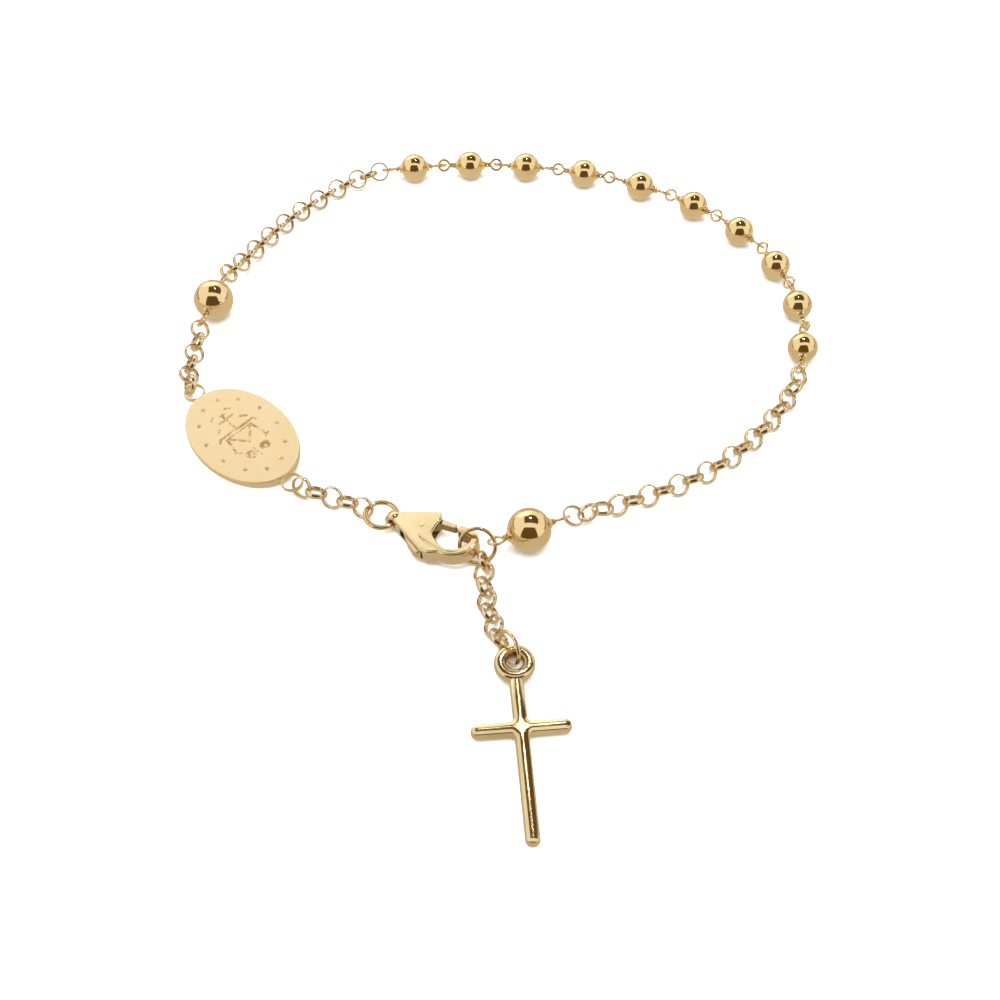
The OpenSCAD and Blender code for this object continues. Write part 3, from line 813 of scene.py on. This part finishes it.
def layered(name, outline, levels):
    """A solid over an outline. Each level is how far in from the outline it lies, and its z."""
    line = np.array(outline)
    line = line[np.linalg.norm(line - np.roll(line, 1, 0), axis=1) > 1e-4]
    after = np.roll(line, -1, 0)
    if (line[:, 0] * after[:, 1] - line[:, 1] * after[:, 0]).sum() < 0:
        line = line[::-1]
    on = np.roll(line, -1, 0) - line
    on /= np.linalg.norm(on, axis=1)[:, None]
    inward = np.stack([-on[:, 1], on[:, 0]], 1)
    inward = inward + np.roll(inward, 1, 0)
    inward *= 2 / (inward ** 2).sum(1)[:, None]
    n = len(line)
    rows = [np.column_stack([line + inset * inward, np.full(n, z)]) for inset, z in levels]
    faces = [tuple(range(n))[::-1], tuple((len(rows) - 1) * n + k for k in range(n))]
    faces += [(i * n + k, i * n + (k + 1) % n, (i + 1) * n + (k + 1) % n, (i + 1) * n + k)
              for i in range(len(rows) - 1) for k in range(n)]
    mesh = bpy.data.meshes.new(name)
    mesh.from_pydata((np.concatenate(rows) * MM).tolist(), [], faces)
    return outward(mesh, weld=True)


def plate(name, outline, thickness, edge, swell, steps=7):
    """A flat plate whose sides stand out from its outline by swell and are rounded over."""
    half = thickness / 2 - edge
    upper = [(edge * (1 - math.cos(a)) - swell, half + edge * math.sin(a))
             for a in np.linspace(0, math.pi / 2, steps)]
    return layered(name, outline, [(inset, -z) for inset, z in reversed(upper)] + upper)


def cut(mesh, *tools):
    """The mesh with the tools' shapes taken out of it."""
    body = pattern(mesh)
    shapes = [pattern(tool) for tool in tools]
    for shape in shapes:
        modifier = body.modifiers.new("cut", "BOOLEAN")
        modifier.object = shape
        modifier.solver = "EXACT"
    seen = body.evaluated_get(bpy.context.evaluated_depsgraph_get())
    done = bpy.data.meshes.new_from_object(seen)
    for item in [body, *shapes]:
        bpy.data.objects.remove(item)
    return outward(done, weld=True)


def even_shading(mesh):
    """Lets the flat faces keep their own direction where they run into a rounding."""
    mesh.shade_smooth()
    mesh.set_sharp_from_angle(angle=math.radians(40))
    body = pattern(mesh)
    body.modifiers.new("flats first", "WEIGHTED_NORMAL").keep_sharp = True
    seen = body.evaluated_get(bpy.context.evaluated_depsgraph_get())
    done = bpy.data.meshes.new_from_object(seen)
    bpy.data.objects.remove(body)
    return done


def box(name, low, high):
    mesh = bpy.data.meshes.new(name)
    built = bmesh.new()
    bmesh.ops.create_cube(built, size=1.0)
    size = np.array(high) - np.array(low)
    centre = (np.array(high) + np.array(low)) / 2
    for vert in built.verts:
        vert.co = Vector(np.array(vert.co) * size + centre)
    built.to_mesh(mesh)
    built.free()
    return mesh


def post(name, r, length, edge, steps=48):
    """A round pin along Z with its ends rounded over."""
    half = length / 2
    profile = [(half - edge + edge * math.sin(a), r - edge + edge * math.cos(a))
               for a in np.radians([0, 22, 45, 68, 90])]
    profile += [(half, 0.35 * r), (half, 0.0)]
    outline = profile + [(-x, y) for x, y in reversed(profile)]
    mesh = turned(name, outline, steps)
    mesh.transform(Matrix.Rotation(-math.pi / 2, 4, "Y"))
    return outward(mesh, weld=True)


body_outline = softened(
    arc(BOW, BOW_IN, -122, -12, 22) + arc(NOSE, NOSE_IN, -9, 86, 12)
    + [(6.2, 0.76, 0.24), (6.16, 1.27, 0.24)]
    + arc(NOSE, NOSE_OUT, 88, -9, 18) + arc(BOW, BOW_OUT, -13, -100, 20)
    + [(4.9, -2.55, 0.5), (4.1, -2.5, 0.4), (3.1, -1.95, 0.5), (0.65, -0.62, 0.15),
       (0.22, -0.4, 0.23), (0.2, 0.5, 0.23), (3.74, 1.95, 0.3), (4.1, 1.36, 0.25),
       (4.02, 0.9, 0.5), (4.02, -0.4, 0.45), (4.3, -0.8, 0.5)]
)
groove = tube(
    "groove",
    [(x * MM, y * MM, CLASP_T / 2 + 0.02 * MM) for x, y in
     ((3.2, -1.12), (3.5, -1.34), (4.1, -1.6), (4.8, -1.77), (5.5, -1.87), (6.2, -1.92),
      (6.9, -1.79), (7.45, -1.45))],
    [t * MM for t in (0.03, 0.11, 0.15, 0.15, 0.13, 0.11, 0.09, 0.03)], 10,
)
slot = box("slot", (SLOT_SPAN[0] * MM, -4 * MM, -SLOT_T / 2),
           (SLOT_SPAN[1] * MM, 4 * MM, SLOT_T / 2))
eye_hole = post("eye_hole", EYE_HOLE_R, THROUGH, TOOL_EDGE)
eye_hole.transform(Matrix.Rotation(math.pi / 2, 4, "X"))
pin_hole = post("pin_hole", PIN_R + RIVET_FIT, THROUGH, TOOL_EDGE)
pin_hole.transform(Matrix.Translation((PIVOT_X, 0, 0)))
wedge = cut(
    plate("wedge_and_hook", body_outline, CLASP_T / MM, CLASP_EDGE, CLASP_SWELL),
    groove, slot, eye_hole, pin_hole,
)
eye_profile = [
    (-0.475, 0.5), (-0.475, 0.68), (-0.43, 0.78), (-0.33, 0.85), (0, 0.85), (0.33, 0.85),
    (0.43, 0.78), (0.475, 0.68), (0.475, 0.5), (0.4, 0.43), (0, 0.42), (-0.4, 0.43),
]
clasp_eye = turned("clasp_eye", [(x * MM, r * MM) for x, r in eye_profile], 64)
clasp_eye.transform(Matrix.Rotation(math.pi / 2, 4, "Z"))
clasp_at, clasp_axes = clasp_frame()
body_mesh = joined("clasp_body_cast", [even_shading(wedge), clasp_eye])
# Painted shade: the side walls inside the hook's bow take the dark colour.
paint_shade(body_mesh, lambda x, y, z: (np.abs(z) < CLASP_T / MM / 2 - CLASP_EDGE + 0.01)
       * np.clip((2.2 - np.hypot(x - BOW[0], y - BOW[1])) / 0.15, 0, 1))
clasp_body = placed(body_mesh, clasp_at, clasp_axes)
coat(clasp_body, clasp_gold)
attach(clasp_body, "bracelet")
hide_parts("clasp_body")


# Clasp lever
# The spring-loaded arm that closes the hook, stamped from sheet. Its tab stands out below the
# body for a fingernail, and its strip meets the hook's tip.
LEVER_EDGE = 0.1
LEVER_SWELL = 0.09
lever_outline = softened([
    (3.0, 1.3, 0.15), (4.2, 1.5, 0.3), (5.6, 1.45, 0.06), (5.72, 1.12, 0.06), (4.3, 1.05, 0.3),
    (3.8, 0.4, 0.3), (3.7, -0.7, 0.3), (3.95, -1.8, 0.3), (4.12, -2.55, 0.15), (3.85, -2.82, 0.2),
    (3.45, -2.68, 0.2), (2.65, -2.1, 0.3), (1.6, -1.1, 0.3), (1.52, -0.4, 0.3), (2.0, 0.8, 0.3),
])
lever_mesh = plate("clasp_lever_stamped", lever_outline, LEVER_T / MM, LEVER_EDGE, LEVER_SWELL)
pin_room = post("pin_room", PIN_R + RIVET_PLAY, THROUGH, TOOL_EDGE)
pin_room.transform(Matrix.Translation((PIVOT_X, 0, 0)))
lever_mesh = even_shading(cut(lever_mesh, pin_room))
# Painted shade: the lever's side walls, away from its tab, take most of the dark colour, the rest a
# little.
paint_shade(lever_mesh, lambda x, y, z: np.where((np.abs(z) < 0.31) & (y > -1.5), 0.9, 0.15))
clasp_lever = placed(lever_mesh, clasp_at, clasp_axes)
clasp_lever.name = "clasp_lever_stamped"
coat(clasp_lever, clasp_gold)
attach(clasp_lever, "lever")
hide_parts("clasp_lever")


# Clasp pin
# A short round pin of the same gold, pushed through the body and the lever. Its ends are
# riveted over and filed flush, so they hardly show.
RIVET_EDGE = 0.012 * MM
pin_mesh = post("clasp_rivet", PIN_R, CLASP_T, RIVET_EDGE)
pin_mesh.transform(Matrix.Translation((PIVOT_X, 0, 0)))
clasp_pin = placed(even_shading(pin_mesh), clasp_at, clasp_axes)
coat(clasp_pin, clasp_gold)
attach(clasp_pin, "bracelet")
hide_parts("clasp_pin")


# Cross
# Half-round bars with soft ends, pressed and polished. A thick ring is soldered to the top of
# the long bar, and the cross hangs from it on its own jump ring.
CROSS_L = 16.4
CROSS_EYE_CAD_R = 1.7
CROSS_EYE_R = 1.75
CROSS_EYE_WALL = 1.05
ARMS_AT = 6.15
ARM_REACH = 4.15
BAR_HALF_W = 0.6
BAR_H = 0.85
BAR_EDGE = 0.15
BAR_BACK = 0.15
BAR_CROWN = 0.11
# The last colour is painted shade, for the inside of the soldered ring.
cross_gold = gold("polished_pressed_gold", (0.93, 0.76, 0.45), (0.79, 0.63, 0.36), (0.1, 0.17),
                  0.03, worn=(0.30, 0.18, 0.07))


def cross_outline():
    w, end, fillet = BAR_HALF_W, 0.58, 0.34
    near, far = ARMS_AT - w, ARMS_AT + w
    half = [(1.15, -w), (near, -w, fillet), (near, -ARM_REACH, end), (far, -ARM_REACH, end),
            (far, -w, fillet), (CROSS_L, -w, end)]
    return softened(half + [(p[0], -p[1], *p[2:]) for p in reversed(half)], 15)


def bar_height(inset):
    """Height of the bar's top over its edge: a quick rounding, and then a low dome."""
    edge = min(inset / BAR_EDGE, 1.0)
    crown = max(inset - BAR_EDGE, 0.0) / (BAR_HALF_W - BAR_EDGE)
    return (BAR_H - BAR_BACK - BAR_CROWN) * math.sqrt(1 - (1 - edge) ** 2) \
        + BAR_CROWN * (1 - (1 - crown) ** 2)


def cross_bars():
    """Bars with a low dome on top, rounded only a little at the back."""
    deepest = BAR_HALF_W - 0.04
    insets = [deepest * (1 - math.cos(math.pi / 2 * k / 16)) for k in range(17)]
    levels = [(k, BAR_BACK - BAR_H / 2 + bar_height(k)) for k in insets]
    low = [(BAR_EDGE * (1 - math.cos(math.pi / 2 * k / 4)),
            BAR_BACK - BAR_H / 2 - BAR_BACK * math.sin(math.pi / 2 * k / 4))
           for k in range(4, 0, -1)]
    return layered("half_round_bars", cross_outline(), low + levels)


def cross_ring():
    """The thick ring, its section between a circle and a square."""
    r = CROSS_EYE_R - CROSS_EYE_WALL / 2
    profile = []
    for t in np.linspace(0, 2 * math.pi, 25)[:-1]:
        c, s = math.cos(t), math.sin(t)
        profile.append((CROSS_EYE_WALL / 2 * math.copysign(abs(s) ** 0.7, s) * MM,
                        (r + CROSS_EYE_WALL / 2 * math.copysign(abs(c) ** 0.7, c)) * MM))
    mesh = turned("soldered_ring", profile, 96)
    mesh.transform(Matrix.Rotation(math.pi / 2, 4, "Y"))
    return mesh


cross_centre, cross_axes = flat_frame("cross")
if cross_axes[0][2] > 0:
    cross_axes = np.array([-cross_axes[0], -cross_axes[1], cross_axes[2]])
cross_at = cross_centre - (CROSS_L - CROSS_EYE_CAD_R) / 2 * MM * cross_axes[0]
cross_mesh = joined("half_round_cross", [even_shading(cross_bars()), cross_ring()])
# Painted shade: the inner half of the soldered ring, round its hole, is coloured dark.
paint_shade(cross_mesh, lambda x, y, z: np.clip((1.08 - np.hypot(x, y)) / 0.3, 0, 1))
cross = placed(cross_mesh, cross_at, cross_axes)
coat(cross, cross_gold)
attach(cross, "bracelet")
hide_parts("cross")


# Floor, reflected cards and lights
# The bracelet lies on plain white, under a large soft light. The dark cards in front of it and
# over it are only there for the polished gold to mirror.
FLOOR_HALF = 9000
TABLE_DROP = 0.02


def shine(name, colour, strength):
    """A material that only glows."""
    material = bpy.data.materials.new(name)
    material.use_nodes = True
    nodes, links = material.node_tree.nodes, material.node_tree.links
    nodes.clear()
    lamp = nodes.new("ShaderNodeEmission")
    lamp.inputs["Color"].default_value = (*colour, 1)
    lamp.inputs["Strength"].default_value = strength
    links.new(lamp.outputs["Emission"], nodes.new("ShaderNodeOutputMaterial").inputs["Surface"])
    return material


def card(name, corners_mm, material):
    """A flat sheet with its four corners given in mm."""
    mesh = bpy.data.meshes.new(name)
    mesh.from_pydata([tuple(c * MM for c in corner) for corner in corners_mm], [], [(0, 1, 2, 3)])
    item = bpy.data.objects.new(name, mesh)
    bpy.context.scene.collection.objects.link(item)
    item.data.materials.append(material)
    return item


def only_mirrored(item):
    item.visible_camera = False
    item.visible_diffuse = False
    item.visible_shadow = False
    item.visible_transmission = False


def table_tone():
    """What the gold mirrors of the table: dimmer towards the viewer's own shadow."""
    material = shine("mirrored_table", (1, 1, 1), 1.0)
    nodes, links = material.node_tree.nodes, material.node_tree.links
    axes = nodes.new("ShaderNodeSeparateXYZ")
    links.new(nodes.new("ShaderNodeTexCoord").outputs["Object"], axes.inputs["Vector"])
    depth = nodes.new("ShaderNodeMapRange")
    depth.inputs["From Min"].default_value = -0.06
    depth.inputs["From Max"].default_value = 0.08
    links.new(axes.outputs["Y"], depth.inputs["Value"])
    tone = nodes.new("ShaderNodeMix")
    tone.data_type = "RGBA"
    tone.inputs["A"].default_value = (0.56, 0.49, 0.41, 1)
    tone.inputs["B"].default_value = (0.80, 0.73, 0.64, 1)
    links.new(depth.outputs["Result"], tone.inputs["Factor"])
    links.new(tone.outputs["Result"], nodes["Emission"].inputs["Color"])
    return material


floor_white = bpy.data.materials.new("white_floor")
floor_white.use_nodes = True
white = floor_white.node_tree.nodes["Principled BSDF"].inputs
white["Base Color"].default_value = (0.95, 0.95, 0.95, 1)
white["Roughness"].default_value = 0.9
white["Specular IOR Level"].default_value = 0.0
floor_z = cad_box[0][2] / MM
square = [(-FLOOR_HALF, -FLOOR_HALF), (FLOOR_HALF, -FLOOR_HALF), (FLOOR_HALF, FLOOR_HALF),
          (-FLOOR_HALF, FLOOR_HALF)]
floor = card("floor", [(x, y, floor_z) for x, y in square], floor_white)
floor.visible_glossy = False
table = [(x, y, floor_z - TABLE_DROP) for x, y in square]
only_mirrored(card("mirrored_table", table, table_tone()))

brown = shine("dark_card", (0.12, 0.075, 0.025), 1.0)
umber = shine("shaded_wall", (0.42, 0.33, 0.24), 1.0)
pale = shine("soft_box", (1.0, 0.98, 0.94), 1.45)
cards = {
    "front_card": (brown, [(-215, -262, 10), (215, -262, 10), (240, -240, 430), (-240, -240, 430)]),
    "top_card": (brown, [(-130, -42, 300), (280, -42, 300), (280, 190, 300), (-130, 190, 300)]),
    "top_card_end": (brown, [(0, 190, 300), (230, 190, 300), (230, 275, 300), (0, 275, 300)]),
    "cross_card": (brown, [(0, -34.6, 12.3), (26, -31, 8), (26, -42, 21.2), (0, -42, 21.2)]),
    "left_wall": (umber, [(-330, -50, 0), (-330, 300, 0), (-330, 300, 60), (-330, -50, 60)]),
    "right_wall": (umber, [(330, -50, 0), (330, 300, 0), (330, 300, 60), (330, -50, 60)]),
    "back_wall": (umber, [(-150, 380, 0), (200, 380, 0), (200, 380, 70), (-150, 380, 70)]),
    "back_soft_box": (pale, [(-330, 340, 110), (60, 340, 110), (60, 300, 330), (-330, 300, 330)]),
}
for name, (glow, corners_mm) in cards.items():
    only_mirrored(card(name, corners_mm, glow))

world = bpy.data.worlds.new("soft_room")
world.use_nodes = True
world.node_tree.nodes["Background"].inputs["Color"].default_value = (0.96, 0.93, 0.88, 1)
world.node_tree.nodes["Background"].inputs["Strength"].default_value = 1.0
bpy.context.scene.world = world

soft_light = bpy.data.lights.new("soft_light", "AREA")
soft_light.shape = "RECTANGLE"
soft_light.size = 0.7
soft_light.size_y = 0.5
soft_light.energy = 6.0
soft_box = bpy.data.objects.new("soft_light", soft_light)
soft_box.location = (-0.05, -0.05, 0.6)
bpy.context.scene.collection.objects.link(soft_box)
soft_box.visible_glossy = False

small_lamp = bpy.data.lights.new("small_lamp", "AREA")
small_lamp.shape = "DISK"
small_lamp.size = 0.016
small_lamp.energy = 0.12
lamp = bpy.data.objects.new("small_lamp", small_lamp)
lamp.location = (0.032, 0.105, 0.285)
lamp.rotation_euler = (-lamp.location).to_track_quat("-Z", "Y").to_euler()
bpy.context.scene.collection.objects.link(lamp)

bpy.context.scene.view_settings.view_transform = "Standard"


# Camera
# Where the photo was taken from: close by and about 50 degrees above the surface, with the
# cross nearest and the small beads farthest away.
EYE = Vector((0.0, -0.1101, 0.1062))
LOOKS_AT = Vector((0.0, -0.021, 0.0))
camera_data = bpy.data.cameras.new("camera")
camera_data.sensor_width = 36.0
camera_data.lens = 54.05
camera_data.clip_start = 0.005
camera = bpy.data.objects.new("camera", camera_data)
camera.location = EYE
camera.rotation_euler = (LOOKS_AT - EYE).to_track_quat("-Z", "Y").to_euler()
bpy.context.scene.collection.objects.link(camera)
bpy.context.scene.camera = camera
